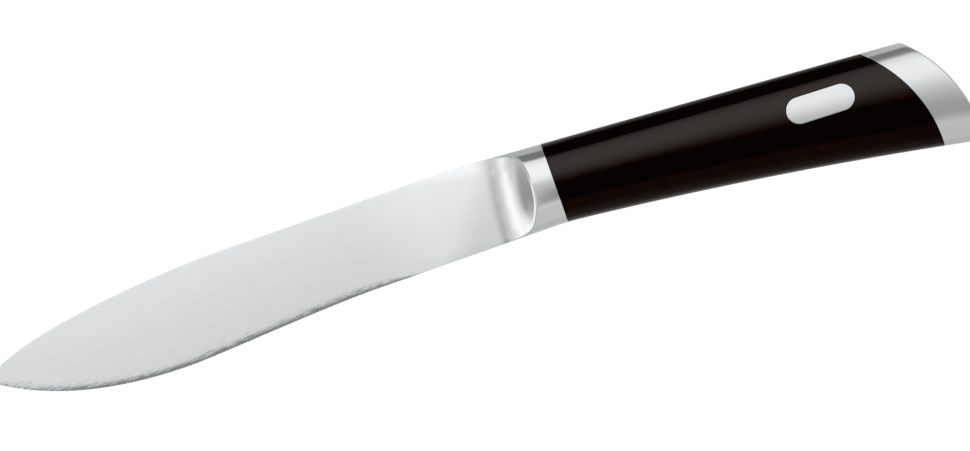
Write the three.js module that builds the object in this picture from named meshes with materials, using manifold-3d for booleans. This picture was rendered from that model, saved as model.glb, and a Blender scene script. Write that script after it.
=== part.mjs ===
// Steak knife: forged blade with scooped bolster, black grip sleeve, steel butt cap, flush inlays.
// Millimetres. The knife is drawn with its origin at the centre of the joint between bolster and grip,
// +X toward the butt, +Y toward the spine and +Z out of the left face. The last step moves it so that
// it lies on its right face with the bottom centre of its box at the origin.
import * as THREE from 'three';
import { mergeVertices, toCreasedNormals } from 'three/addons/utils/BufferGeometryUtils.js';
import Module from 'manifold-3d';

const wasm = await Module();
wasm.setup();

// Blade outline, measured from the joint and the blade's axis
const bladeReach = 146.8;        // joint to tip
const spineRise = 11.22;         // axis up to the straight part of the spine
const edgeDrop = 10.3;           // axis down to the straight heel of the edge
const bellyDrop = 12.85;         // axis down to the lowest point of the edge
const spineBendAt = 84;          // joint to where the spine leaves the straight
const spineBendLead = 13.4;      // how firmly it keeps its first direction
const spineTipLead = 12.1;       // the same at the tip
const spineTipAngle = THREE.MathUtils.degToRad(43);
const bellyFrom = 48.2;          // joint to where the edge leaves the straight
const bellyAt = 99;              // joint to the lowest point of the edge
const bellyFromLead = 16.1;      // leads of the curve down to the belly
const bellyHeelLead = 8.2;
const bellyTipLead = 28.4;       // leads of the curve up to the tip
const edgeTipLead = 6.8;
const edgeTipAngle = THREE.MathUtils.degToRad(37.5);

// Blade thickness: each side is one plane
const spineThickness = 2.52;     // at the spine, beside the scoop
const heelThickness = 1.32;      // at the heel of the edge, before it is ground
const tipThinning = 1.0;         // thickness lost between scoop and tip

// Ground edge and its fine teeth
const bevelHeight = 2.0;
const edgeThickness = 0.12;      // left on the cutting edge
const heelChamfer = 0.15;        // corner taken off the plain heel
const toothPitch = 0.8;
const toothDepth = 0.14;
const teethFrom = 37;            // joint to the first tooth
const bevelFrom = 24;            // joint to the start of the grind
const tipBlunt = 0.35;           // length left off the point
const tipRunout = 14;            // length before the tip in which the grind narrows

// Bolster scoop
const scoopStart = 15.15;        // joint to the lowest line of the scoop, on the axis
const scoopTilt = THREE.MathUtils.degToRad(6);  // that line leans toward the tip at the edge
const scoopRadius = 11.0;
const scoopBite = 0.02;          // how far that line lies below the blade's side
const rootEnd = 3;               // joint to the end of the blade's root inside the bolster
const rootSink = 1.0;            // how far the root sits inside the bolster's outline there
const bolsterInset = 0.08;       // how far the bolster's front end sits inside the blade's outline

// Handle section and outline
const handleReach = 102.9;       // joint to the heel of the butt
const handleHalf = 6.4;          // half thickness at half height
const ovalPower = 2.1;           // 2 is an ellipse
const eggFactor = 0.02;          // thicker toward the spine
const topKnee = 21.7;            // joint to the knee where spine and top line meet
const buttRise = 3.36;           // axis up to the top line, carried on to the heel
const heelDrop = 25.24;          // axis down to the heel of the butt
const dropSlope = 0.0977;        // fall of the underside for each mm, behind the joint
const dropBlend = 3;             // half length of the soft start of that fall

// Butt cap
const buttRadius = 36.0;         // of the curved joint and the curved end
const buttCentreDrop = 22.5;     // axis down to the centres of those curves
const capLength = 9.8;

// Inlays
const inlaySetback = 25.4;       // rearmost point of the curved joint forward to the inlay's middle
const inlayDrop = 9.18;          // top line down to the inlay's middle
const inlayTilt = THREE.MathUtils.degToRad(-1.7);
const inlayLength = 17.5;
const inlayWidth = 6.8;
const inlayThickness = 1.4;      // at its middle

// Tang, tongue, bedding and rivets
const tangHeight = 8.0;
const tangThickness = 3.0;
const beddingWall = 0.6;         // all round the tang and the tongue
const webLength = 1.4;           // bedding between the tang's end and the tongue
const barrelRadius = 1.7;
const pinRadius = 1.0;
const rivetHeadRim = 0.6;        // edge of the inlay in to the edge of the rivet's head
const rivetHeadThickness = 0.8;
const pinEndRoom = 0.6;          // room between the pin's end and the floor of the barrel's bore

// Clearances
const glueLine = 0.1;            // bolster to sleeve and sleeve to cap
const fitGap = 0.05;             // every hidden fit

// Mesh fineness
const ringPoints = 44;
const handleSteps = 14;
const holeSides = 20;
const arcSteps = 40;
const scoopSteps = 12;
const margin = 2;                // how far a piece runs past the surface that trims it

const steel = (color, roughness) =>
  new THREE.MeshStandardMaterial({ color, roughness, metalness: 1.0 });
const plastic = (color, roughness) =>
  new THREE.MeshStandardMaterial({ color, roughness, metalness: 0.0 });
const bladeSteel = steel(0xd3d5d6, 0.38);
const capSteel = steel(0xcfd1d2, 0.26);
const inlaySteel = steel(0xd8dadb, 0.24);
const rivetSteel = steel(0xb9bcbe, 0.4);
const blackResin = plastic(0x141110, 0.42);
const beddingResin = plastic(0x4a443c, 0.7);

// A closed three.js geometry as a solid that can be cut and joined, and back again.
function solid(geometry) {
  const plain = geometry.clone();
  plain.deleteAttribute('normal');
  plain.deleteAttribute('uv');
  const merged = mergeVertices(plain, 1e-5);
  const mesh = new wasm.Mesh({
    numProp: 3,
    vertProperties: Float32Array.from(merged.attributes.position.array),
    triVerts: Uint32Array.from(merged.index.array),
  });
  return new wasm.Manifold(mesh);
}

function surface(body) {
  const mesh = body.getMesh();
  const geometry = new THREE.BufferGeometry();
  geometry.setAttribute('position', new THREE.BufferAttribute(mesh.vertProperties.slice(), 3));
  geometry.setIndex(new THREE.BufferAttribute(mesh.triVerts.slice(), 1));
  return geometry;
}

// A skin over a row of rings with equal counts, closed by a fan at each end.
function loft(rings) {
  const count = rings[0].length;
  const points = rings.flat();
  const faces = [];
  for (let i = 0; i + 1 < rings.length; i += 1) {
    for (let j = 0; j < count; j += 1) {
      const k = (j + 1) % count;
      const a = i * count + j;
      const b = i * count + k;
      faces.push(a, a + count, b, b, a + count, b + count);
    }
  }
  for (const end of [0, rings.length - 1]) {
    const hub = points.length;
    const middle = new THREE.Vector3();
    rings[end].forEach((p) => middle.addScaledVector(p, 1 / count));
    points.push(middle);
    for (let j = 0; j < count; j += 1) {
      const a = end * count + j;
      const b = end * count + (j + 1) % count;
      faces.push(hub, end ? b : a, end ? a : b);
    }
  }
  const geometry = new THREE.BufferGeometry().setFromPoints(points);
  geometry.setIndex(faces);
  return geometry;
}

// A flat shape in the XY plane given thickness between two heights.
function slab(shape, z0, z1, curveSegments) {
  const options = { depth: z1 - z0, bevelEnabled: false, curveSegments };
  return new THREE.ExtrudeGeometry(shape, options).translate(0, 0, z0);
}

// A round bar along Z.
function bar(radius, z0, z1) {
  const geometry = new THREE.CylinderGeometry(radius, radius, z1 - z0, holeSides);
  return geometry.rotateX(Math.PI / 2).translate(0, 0, (z0 + z1) / 2);
}

// Handle outline and oval section

const far = 2 * handleHalf;
const topSlope = (spineRise - buttRise) / (topKnee + handleReach);
const dropCurve = (heelDrop - edgeDrop - dropSlope * handleReach) / handleReach ** 2;
const topLine = (x) => spineRise - topSlope * (x + topKnee);

function underside(x) {
  let run = x;
  if (x < -dropBlend) run = 0;
  else if (x < dropBlend) run = (x + dropBlend) ** 2 / (4 * dropBlend);
  return -edgeDrop - dropSlope * run - dropCurve * run ** 2;
}

function ovalRing(x, inset = 0) {
  const high = topLine(x) - inset;
  const low = underside(x) + inset;
  const ring = [];
  for (let j = 0; j < ringPoints; j += 1) {
    const angle = (-2 * Math.PI * j) / ringPoints;
    const c = Math.cos(angle);
    const s = Math.sin(angle);
    const rise = Math.sign(c) * Math.abs(c) ** (2 / ovalPower);
    const out = Math.sign(s) * Math.abs(s) ** (2 / ovalPower) * (1 + eggFactor * rise);
    ring.push(new THREE.Vector3(x, (high + low) / 2 + ((high - low) / 2) * rise, handleHalf * out));
  }
  return ring;
}

// The whole handle behind the bolster, before it is divided into sleeve, cap and inlays.
function handleBlank() {
  const rings = [];
  for (let i = 0; i <= handleSteps; i += 1) {
    rings.push(ovalRing(THREE.MathUtils.lerp(glueLine, handleReach + margin, i / handleSteps)));
  }
  return solid(loft(rings));
}

// Everything in front of the curved joint, when its arc is moved back by the given amount.
const buttJoint = handleReach - capLength;
const buttCentreX = buttJoint - buttRadius;

function aheadOfButt(shift) {
  const reach = buttRadius + handleReach;
  const shape = new THREE.Shape();
  shape.absarc(buttCentreX + shift, -buttCentreDrop, buttRadius, -Math.PI / 3, Math.PI / 2, false);
  shape.lineTo(buttCentreX + shift, reach);
  shape.lineTo(-reach, reach);
  shape.lineTo(-reach, -reach);
  return solid(slab(shape, -far, far, arcSteps));
}

// Blade: spine and edge curves, planar sides, ground edge with fine teeth

const tip = new THREE.Vector2(-bladeReach, 0);

function fromTip(lead, angle) {
  return new THREE.Vector2(tip.x + lead * Math.cos(angle), tip.y + lead * Math.sin(angle));
}

const spineCurve = new THREE.CubicBezierCurve(
  new THREE.Vector2(-spineBendAt, spineRise),
  new THREE.Vector2(-spineBendAt - spineBendLead, spineRise),
  fromTip(spineTipLead, spineTipAngle),
  tip,
);
const heelCurve = new THREE.CubicBezierCurve(
  new THREE.Vector2(-bellyFrom, -edgeDrop),
  new THREE.Vector2(-bellyFrom - bellyFromLead, -edgeDrop),
  new THREE.Vector2(-bellyAt + bellyHeelLead, -bellyDrop),
  new THREE.Vector2(-bellyAt, -bellyDrop),
);
const bellyCurve = new THREE.CubicBezierCurve(
  new THREE.Vector2(-bellyAt, -bellyDrop),
  new THREE.Vector2(-bellyAt - bellyTipLead, -bellyDrop),
  fromTip(edgeTipLead, -edgeTipAngle),
  tip,
);

function heightOn(curve, x) {
  let low = 0;
  let high = 1;
  for (let i = 0; i < 40; i += 1) {
    const mid = (low + high) / 2;
    if (curve.getPoint(mid).x > x) low = mid;
    else high = mid;
  }
  return curve.getPoint(low).y;
}

// How deep the blade's root has sunk into the bolster.
const sunk = (x) => (rootSink * (x + scoopStart)) / (scoopStart - rootEnd);

// The spine is straight. In front it bends down to the tip, and behind it meets the handle's top line
// in a soft knee that ends at the scoop.
const knee = topKnee - scoopStart;

function spineHeight(x) {
  if (x > -scoopStart) return topLine(x) - sunk(x);
  if (x > -topKnee - knee) return spineRise - (topSlope * (x + topKnee + knee) ** 2) / (4 * knee);
  if (x > spineCurve.v0.x) return spineRise;
  return heightOn(spineCurve, x);
}

function edgeHeight(x) {
  if (x > -scoopStart) return sunk(x) - edgeDrop;
  if (x > heelCurve.v0.x) return -edgeDrop;
  if (x > bellyCurve.v0.x) return heightOn(heelCurve, x);
  return heightOn(bellyCurve, x);
}

// Each side of the blade is one plane, thickest at the spine and thinning toward the tip.
const flatRise = (spineThickness - heelThickness) / 2 / (spineRise + edgeDrop);
const flatTaper = tipThinning / 2 / (bladeReach - scoopStart);

function sideHalf(x, y) {
  return heelThickness / 2 + flatTaper * (x + scoopStart) + flatRise * (y + edgeDrop);
}

// One ring of the blade: spine corners, shoulders of the grind and the two sides of the edge.
function bladeRing(x, grind, tooth) {
  const step = toothPitch / 10;
  const rise = edgeHeight(x + step) - edgeHeight(x - step);
  const inward = new THREE.Vector2(-rise, 2 * step).normalize();
  const edge = new THREE.Vector2(x, edgeHeight(x));
  const cut = edge.clone().addScaledVector(inward, tooth);
  const shoulder = edge.clone().addScaledVector(inward, grind.height);
  const spine = new THREE.Vector2(x, spineHeight(x));
  const plain = sideHalf(cut.x, cut.y) - heelChamfer;
  const edgeZ = THREE.MathUtils.lerp(plain, edgeThickness / 2, grind.share);
  const left = [
    new THREE.Vector3(spine.x, spine.y, sideHalf(spine.x, spine.y)),
    new THREE.Vector3(shoulder.x, shoulder.y, sideHalf(shoulder.x, shoulder.y)),
    new THREE.Vector3(cut.x, cut.y, edgeZ),
  ];
  const mirror = new THREE.Vector3(1, 1, -1);
  const right = left.map((p) => p.clone().multiply(mirror)).reverse();
  return [...left, ...right];
}

// The grind opens from the plain heel and narrows again before the tip.
function grindAt(x) {
  const share = THREE.MathUtils.smoothstep(-x, bevelFrom, teethFrom);
  const room = THREE.MathUtils.clamp((x + bladeReach) / tipRunout, 0, 1);
  return { share, height: THREE.MathUtils.lerp(2 * heelChamfer, bevelHeight, share) * room };
}

function bladeBody() {
  const heel = [-rootEnd, -scoopStart, -topKnee, -topKnee - knee];
  const rings = heel.map((x) => bladeRing(x, grindAt(x), 0));
  const toothed = new THREE.CurvePath();
  toothed.add(new THREE.LineCurve(new THREE.Vector2(-teethFrom, -edgeDrop), heelCurve.v0));
  toothed.add(heelCurve);
  toothed.add(bellyCurve);
  const used = 1 - tipBlunt / toothed.getLength();
  const teeth = Math.round((toothed.getLength() * used) / toothPitch);
  for (let i = 0; i <= 2 * teeth; i += 1) {
    const x = toothed.getPointAt((used * i) / (2 * teeth)).x;
    const fade = THREE.MathUtils.clamp((x + bladeReach) / tipRunout, 0, 1);
    rings.push(bladeRing(x, grindAt(x), i % 2 ? toothDepth * fade : 0));
  }
  return solid(loft(rings));
}

// The scoop of one side: a straight trough tangent to the blade's side that rises to the bolster.
function scoopCutter(side) {
  const c = Math.cos(scoopTilt);
  const s = Math.sin(scoopTilt);
  const start = -scoopStart * c;
  const reach = 2 * spineRise;
  const shape = new THREE.Shape();
  shape.moveTo(start - reach, -scoopBite);
  shape.lineTo(start, -scoopBite);
  shape.absarc(start, scoopRadius - scoopBite, scoopRadius, -Math.PI / 2, 0, false);
  shape.lineTo(start + scoopRadius, far);
  shape.lineTo(start - reach, far);
  const along = new THREE.Vector3(c, -s, flatTaper * c - flatRise * s).normalize();
  const across = new THREE.Vector3(s, c, flatTaper * s + flatRise * c).normalize();
  const out = along.clone().cross(across).normalize();
  const frame = new THREE.Matrix4().makeBasis(along, out, across.clone().negate());
  frame.setPosition(0, 0, sideHalf(0, 0));
  const cutter = solid(slab(shape, -reach, reach, scoopSteps).applyMatrix4(frame));
  return side > 0 ? cutter : cutter.mirror([0, 0, 1]);
}

function bolsterBody() {
  const rings = [];
  const front = -scoopStart - margin;
  const steps = 8;
  for (let i = 0; i <= steps; i += 1) {
    const x = THREE.MathUtils.lerp(front, 0, i / steps);
    const forward = THREE.MathUtils.clamp((x + rootEnd) / (front + rootEnd), 0, 1);
    rings.push(ovalRing(x, bolsterInset * forward));
  }
  return solid(loft(rings)).subtract(scoopCutter(1)).subtract(scoopCutter(-1));
}

// Tang, tongue and slot share one line that runs from the joint to the inlays

const inlayX = buttJoint - inlaySetback;
const inlayY = topLine(inlayX) - inlayDrop;
const tangLine = Math.atan2(inlayY, inlayX);
const rivetOffset = (inlayLength - inlayWidth) / 2;
const alongInlay = (run) => new THREE.Vector2(
  inlayX + run * Math.cos(inlayTilt),
  inlayY + run * Math.sin(inlayTilt),
);
const tangRivetAt = alongInlay(-rivetOffset);
const capRivetAt = alongInlay(rivetOffset);
const tangEnd = Math.hypot(inlayX, inlayY) - webLength / 2;
const tongueEnd = tangEnd + webLength;
const pocketFloor = handleHalf - inlayThickness - fitGap;
const headSeat = pocketFloor - rivetHeadThickness - fitGap;
const headTop = headSeat + rivetHeadThickness;
const rivetHeadRadius = inlayWidth / 2 - rivetHeadRim;
const slotHeight = tangHeight + 2 * beddingWall;
const slotThickness = tangThickness + 2 * beddingWall;

// A bar on the tang line between two distances from the joint.
function lineBar(from, to, height, thickness) {
  const box = new THREE.BoxGeometry(to - from, height, thickness);
  return solid(box.translate((from + to) / 2, 0, 0).rotateZ(tangLine));
}

const spot = (point, geometry) => solid(geometry.translate(point.x, point.y, 0));

function pill(grow, z0, z1) {
  const r = inlayWidth / 2 + grow;
  const shape = new THREE.Shape();
  shape.absarc(rivetOffset, 0, r, -Math.PI / 2, Math.PI / 2, false);
  shape.absarc(-rivetOffset, 0, r, Math.PI / 2, 1.5 * Math.PI, false);
  const geometry = slab(shape, z0, z1, 20);
  return spot(new THREE.Vector2(inlayX, inlayY), geometry.rotateZ(inlayTilt));
}

const rivetHole = (point) => spot(point, bar(barrelRadius + fitGap, -far, far));

function blade() {
  const tang = lineBar(-rootEnd, tangEnd, tangHeight, tangThickness);
  return bladeBody().add(bolsterBody()).add(tang).subtract(rivetHole(tangRivetAt));
}

function gripSleeve() {
  let body = handleBlank().intersect(aheadOfButt(0));
  body = body.subtract(lineBar(-far, handleReach + far, slotHeight, slotThickness));
  for (const point of [tangRivetAt, capRivetAt]) {
    body = body.subtract(rivetHole(point));
    body = body.subtract(spot(point, bar(rivetHeadRadius + fitGap, headSeat, far)));
    body = body.subtract(spot(point, bar(rivetHeadRadius + fitGap, -far, -headSeat)));
  }
  return body.subtract(pill(0, pocketFloor, far)).subtract(pill(0, -far, -pocketFloor));
}

function buttCap() {
  const shell = handleBlank().intersect(aheadOfButt(capLength)).subtract(aheadOfButt(glueLine));
  const tongue = lineBar(tongueEnd, buttJoint, tangHeight, tangThickness);
  return shell.add(tongue).subtract(rivetHole(capRivetAt));
}

function tangBedding() {
  const trim = 2 * fitGap;
  const height = tangHeight + trim;
  const thickness = tangThickness + trim;
  let body = lineBar(-far, handleReach, slotHeight - trim, slotThickness - trim);
  body = body.intersect(handleBlank()).intersect(aheadOfButt(-fitGap));
  body = body.subtract(lineBar(-far, tangEnd + fitGap, height, thickness));
  body = body.subtract(lineBar(tongueEnd - fitGap, handleReach + far, height, thickness));
  return body.subtract(rivetHole(tangRivetAt)).subtract(rivetHole(capRivetAt));
}

// A two-piece rivet: the barrel goes in from the left, the pin from the right.
const barrelEnd = fitGap - headSeat;

function rivetBarrel(point) {
  const head = spot(point, bar(rivetHeadRadius, headSeat + fitGap / 2, headTop));
  const shank = spot(point, bar(barrelRadius, barrelEnd, headTop - fitGap));
  const bore = spot(point, bar(pinRadius + fitGap, -far, headSeat));
  return head.add(shank).subtract(bore);
}

function rivetPin(point) {
  const head = spot(point, bar(rivetHeadRadius, -headTop, -headSeat - fitGap / 2));
  const shank = spot(point, bar(pinRadius, -headTop + fitGap, headSeat - pinEndRoom));
  return head.add(shank);
}

function inlay(side) {
  const plate = pill(-fitGap, pocketFloor + fitGap, far);
  return (side > 0 ? plate : plate.mirror([0, 0, 1])).intersect(handleBlank());
}

// Nodes

const group = new THREE.Group();
group.name = 'steak_knife';

function node(name, body, material) {
  const mesh = new THREE.Mesh(toCreasedNormals(surface(body), 0.6), material);
  mesh.name = name;
  group.add(mesh);
}

node('blade', blade(), bladeSteel);
node('grip_sleeve', gripSleeve(), blackResin);
node('tang_bedding', tangBedding(), beddingResin);
node('butt_cap', buttCap(), capSteel);
node('tang_rivet_barrel', rivetBarrel(tangRivetAt), rivetSteel);
node('tang_rivet_pin', rivetPin(tangRivetAt), rivetSteel);
node('cap_rivet_barrel', rivetBarrel(capRivetAt), rivetSteel);
node('cap_rivet_pin', rivetPin(capRivetAt), rivetSteel);
node('inlay_left', inlay(1), inlaySteel);
node('inlay_right', inlay(-1), inlaySteel);

// Rest the knife on its right face with the bottom centre of its box at the origin
const box = new THREE.Box3().setFromObject(group);
const middle = box.getCenter(new THREE.Vector3());
for (const mesh of group.children) mesh.geometry.translate(-middle.x, -middle.y, -box.min.z);

export default group;
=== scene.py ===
"""Looks of a steak knife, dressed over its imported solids.

Sizes are millimetres in the knife's own frame: the origin is the centre of the joint between bolster and
grip, x runs toward the butt, y toward the spine and z out of the left face. The knife lies on its right
face. settle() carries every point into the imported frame, in metres.
"""
import math

import bmesh
import bpy
import numpy as np
from mathutils import Matrix, Vector


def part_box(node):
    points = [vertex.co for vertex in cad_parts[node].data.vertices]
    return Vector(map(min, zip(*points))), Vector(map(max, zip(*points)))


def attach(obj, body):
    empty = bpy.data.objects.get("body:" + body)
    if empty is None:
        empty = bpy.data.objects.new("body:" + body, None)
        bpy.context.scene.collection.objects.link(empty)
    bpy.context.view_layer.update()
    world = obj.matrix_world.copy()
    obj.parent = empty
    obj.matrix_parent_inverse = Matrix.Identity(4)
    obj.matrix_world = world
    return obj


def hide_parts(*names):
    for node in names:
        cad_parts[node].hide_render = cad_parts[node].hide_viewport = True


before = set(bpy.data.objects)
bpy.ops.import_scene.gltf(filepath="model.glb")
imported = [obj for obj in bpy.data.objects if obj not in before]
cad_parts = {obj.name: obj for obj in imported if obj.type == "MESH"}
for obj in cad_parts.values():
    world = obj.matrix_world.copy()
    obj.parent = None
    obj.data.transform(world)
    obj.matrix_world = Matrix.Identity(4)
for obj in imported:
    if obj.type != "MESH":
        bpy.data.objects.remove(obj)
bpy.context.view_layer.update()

# Blade outline
BLADE_REACH = 146.8
SPINE_RISE = 11.22
EDGE_DROP = 10.3
BELLY_DROP = 12.85
SPINE_BEND_AT = 84.0
SPINE_BEND_LEAD = 13.4
SPINE_TIP_LEAD = 12.1
SPINE_TIP_ANGLE = math.radians(43)
BELLY_FROM = 48.2
BELLY_AT = 99.0
BELLY_FROM_LEAD = 16.1
BELLY_HEEL_LEAD = 8.2
BELLY_TIP_LEAD = 28.4
EDGE_TIP_LEAD = 6.8
EDGE_TIP_ANGLE = math.radians(37.5)
TIP_CURVE_POINTS = 800
HEEL_CURVE_POINTS = 400

# Blade sides and ground edge
SPINE_THICKNESS = 2.52
HEEL_THICKNESS = 1.32
TIP_THINNING = 1.0
BEVEL_HEIGHT = 2.0
BEVEL_CROWN = 1.9           # 1 is a straight bevel, more leaves a soft shoulder
SIDE_CROWN = 0.2            # how far each side bulges at mid height, at the blade's full height
EDGE_THICKNESS = 0.12
HEEL_EASE = 0.035           # how far the sides draw in at the heel's blunt edge, over HEEL_RUN
HEEL_RUN = 1.4
TOOTH_PITCH = 0.8
TOOTH_DEPTH = 0.14
GROOVE_DEPTH = 0.01         # how far a tooth's groove sinks into the bevel
TEETH_FROM = 37.0
GRIND_FROM = 35.5           # joint to the start of the grind, and to its full height
GRIND_FULL = 58.0
TIP_BLUNT = 0.35
TIP_RUNOUT = 7.0

# Wear along the ground edge, painted shade on the flat just above the bevel, and a painted sheen on the flat
# by the heel. Pairs are where a change starts and ends
WEAR_RUN = (33, 43)         # joint to the start of the worn band, and to its full strength
TIP_WEAR_RUN = (6, 26)      # distances from the tip between which the next two fade
TIP_WEAR_LOSS = 0.4         # how much less the band is worn by the tip
TIP_FRINGE_GAIN = 0.6       # and how much more the painted shade on the flat above it
FRINGE_SHADE = 0.2           # painted shade on the flat at the bevel, standing in for the shoulder's shading
FRINGE_HEIGHT = 0.9         # and how far above it the painted shade ends
PAINTED_SHEEN_RUN = (-52, -29)     # where the painted sheen, a painted highlight on the flat, sets in
PAINTED_SHEEN_END = (-26, -16)     # and where it goes, along a slanted line
PAINTED_SHEEN_SLANT = 0.7
PAINTED_SHEEN_LOSS = 1.3           # past 1, the painted sheen ends in a little painted shade
HIGHLIGHT_WEDGE_RISE = (7.4, 9.6)     # heights where the painted highlight wedge by the spine sets in, the next length in front of the joint
HIGHLIGHT_WEDGE_AT = 19
HIGHLIGHT_WEDGE_SLANT = 0.22
HIGHLIGHT_WEDGE_END = (-17.5, -15)
POLISH_RUN = (-1.8, 0.6)    # across the scoop's line, from satin to polish

# Bolster scoop
SCOOP_START = 15.15
SCOOP_TILT = math.radians(6)
SCOOP_RADIUS = 10.25
SCOOP_SLOPE = math.radians(43.5)    # where the trough gets this steep it goes on straight
SCOOP_BOW = 119.0           # radius of the scoop's line, which bows toward the tip
SCOOP_LEAD = 2.2            # how far in front of the line the scoop's own grid starts
SCOOP_WAVER = 0.2           # how far the line wavers
WAVER_WAVES = (             # share, radians per mm and shift of each wave
    (1.0, 1.25, 0.0), (0.6, 2.1, 1.0))
WAVER_AT = 1.0              # how far behind the line the waver is strongest
WAVER_FADE = 1.7
RIM_BOW = 0.0065            # how much more the trough bows by the rim, in mm per square mm
RIM_BOW_RUN = (2, 7)        # how far behind the line that bow starts and is full
SCOOP_LIP = 0.5             # softness of the scoop's rim
CORNER_LIP = 0.09           # softness of the blade's own corners
LIP_RUN = 2.5               # how far behind the scoop's line the one becomes the other
LIP_LIMIT = 1.2             # most softness, as a share of the half width
BOLSTER_EASE = 0.04         # share by which the bolster thins toward the tip, at its own length
BOLSTER_LENGTH = 7.0
BOLSTER_EASE_END = 9        # where it thins no further

# Handle section and outline
HANDLE_REACH = 102.9
HANDLE_HALF = 6.4
OVAL_POWER = 2.1            # 2 is an ellipse, more is squarer
EGG_FACTOR = 0.02           # how much thicker the section is toward the spine
TOP_KNEE = 21.7
BUTT_RISE = 3.36
HEEL_DROP = 25.24
DROP_SLOPE = 0.0977
DROP_BLEND = 3.0

# Butt cap and inlays
BUTT_RADIUS = 36.0
BUTT_CENTRE_DROP = 22.5
CAP_LENGTH = 9.8
CAP_RIM = 0.45              # rounding of the cap's rear rim
INLAY_SETBACK = 25.4
INLAY_DROP = 9.18
INLAY_TILT = math.radians(-1.7)
INLAY_LENGTH = 17.5
INLAY_WIDTH = 6.8
INLAY_THICKNESS = 1.4
INLAY_RIM = 0.12            # rounding of an inlay's rim
WINDOW_HALF_LENGTH = 12.5   # the part of the grip's grid that makes way for the inlay
WINDOW_HALF_HEIGHT = 5.6
POCKET_LIP = 0.06           # rounding of the pocket's rim

# Hidden tang, tongue and slot
TANG_HEIGHT = 8.0
TANG_THICKNESS = 3.0
BEDDING_WALL = 0.6
WEB_LENGTH = 1.4

# Clearances and small edge breaks
GLUE_LINE = 0.1
FIT_GAP = 0.05
JOINT_GAP = 0.02            # what still shows of the glue line
EDGE_BREAK = 0.06           # at the sleeve's and the cap's joints

# Fineness of the grids
TOOTH_ROWS = 6
WRAP_COLS = 12              # over the spine's corner, over the bevel, and from the scoop's rim to the joint
SIDE_COLS = 14
HEEL_ROWS = 23              # from the teeth to the seam in front of the scoop
SEAM_WIDTH = 0.8
RIM_COLS = 72
RIM_POINTS = 600            # on each half of the rim, to measure its path
RIM_TURN = 5.5              # rim heights, up and down, whose columns run to the joint's top and bottom
SCOOP_ROWS = 36
SCOOP_CROWD = 1.6           # more crowds the trough's rows at the rim
APEX_GRID = (1201, 901)     # places along x and y at which the rim's apex is looked for
APEX_HEIGHTS = (-8, 10)
HALF_COLS = 64
SLEEVE_ROWS = 66
WINDOW_RINGS = 8
CAP_ROWS = 12
CAP_RIM_ROWS = 6
CAP_END_ROWS = 12
INLAY_END_COLS = 25
INLAY_SIDE_COLS = 21
INLAY_ROWS = 12
INLAY_RIM_ROWS = 5
HALVINGS = 40               # of an interval, to find a crossing
ARC_REPEATS = 30            # of the step that finds a point on the butt's arc
WELD_STEPS = 2e4            # to a millimetre: points that round to the same step become one
BLADE_CREASE = 38           # degrees past which an edge between faces stays sharp
HANDLE_CREASE = 25
INLAY_CREASE = 40

# Derived lines
TOP_SLOPE = (SPINE_RISE - BUTT_RISE) / (TOP_KNEE + HANDLE_REACH)
DROP_CURVE = (HEEL_DROP - EDGE_DROP - DROP_SLOPE * HANDLE_REACH) / HANDLE_REACH ** 2
KNEE = TOP_KNEE - SCOOP_START
SCOOP_FRONT = -SCOOP_START - SCOOP_LEAD
FLAT_RISE = (SPINE_THICKNESS - HEEL_THICKNESS) / 2 / (SPINE_RISE + EDGE_DROP)
FLAT_TAPER = TIP_THINNING / 2 / (BLADE_REACH - SCOOP_START)
BUTT_JOINT = HANDLE_REACH - CAP_LENGTH
BUTT_CENTRE = BUTT_JOINT - BUTT_RADIUS
INLAY_X = BUTT_JOINT - INLAY_SETBACK
INLAY_Y = SPINE_RISE - TOP_SLOPE * (INLAY_X + TOP_KNEE) - INLAY_DROP
INLAY_STRAIGHT = (INLAY_LENGTH - INLAY_WIDTH) / 2
POCKET_FLOOR = HANDLE_HALF - INLAY_THICKNESS - FIT_GAP
TANG_LINE = math.atan2(INLAY_Y, INLAY_X)
TANG_END = math.hypot(INLAY_X, INLAY_Y) - WEB_LENGTH / 2
TONGUE_END = TANG_END + WEB_LENGTH

# The joint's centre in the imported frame, in metres
sleeve_low, sleeve_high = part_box("grip_sleeve")
blade_low, blade_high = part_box("blade")
MM = 0.001
JOINT = np.array([
    sleeve_low.x - GLUE_LINE * MM,
    blade_high.y - SPINE_RISE * MM,
    (blade_low.z + blade_high.z) / 2,
])


def settle(points):
    """Knife millimetres to frame metres: scale, then move the joint's centre to its place."""
    return points * MM + JOINT


# Outlines

def bezier(points, count):
    """Cubic curve on four points: their mean weighted by the cubic Bernstein shares of t."""
    t = np.linspace(0, 1, count)[:, None]
    a, b, c, d = np.array(points, float)
    return (1 - t) ** 3 * a + 3 * t * (1 - t) ** 2 * b + 3 * t * t * (1 - t) * c + t ** 3 * d


def from_tip(lead, angle):
    """The point that lies lead millimetres from the tip, at an angle to the knife's axis."""
    return (-BLADE_REACH + lead * math.cos(angle), lead * math.sin(angle))


TIP = (-BLADE_REACH, 0.0)
spine_curve = bezier([
    (-SPINE_BEND_AT, SPINE_RISE),
    (-SPINE_BEND_AT - SPINE_BEND_LEAD, SPINE_RISE),
    from_tip(SPINE_TIP_LEAD, SPINE_TIP_ANGLE),
    TIP,
], TIP_CURVE_POINTS)
heel_curve = bezier([
    (-BELLY_FROM, -EDGE_DROP),
    (-BELLY_FROM - BELLY_FROM_LEAD, -EDGE_DROP),
    (-BELLY_AT + BELLY_HEEL_LEAD, -BELLY_DROP),
    (-BELLY_AT, -BELLY_DROP),
], HEEL_CURVE_POINTS)
belly_curve = bezier([
    (-BELLY_AT, -BELLY_DROP),
    (-BELLY_AT - BELLY_TIP_LEAD, -BELLY_DROP),
    from_tip(EDGE_TIP_LEAD, -EDGE_TIP_ANGLE),
    TIP,
], TIP_CURVE_POINTS)
edge_curve = np.concatenate([belly_curve[::-1], heel_curve[::-1][1:]])


def smooth(value, low, high):
    """Smooth step: 3 t squared less 2 t cubed, with t the clamped share of the way from low to high."""
    t = np.clip((value - low) / (high - low), 0, 1)
    return t * t * (3 - 2 * t)


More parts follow.
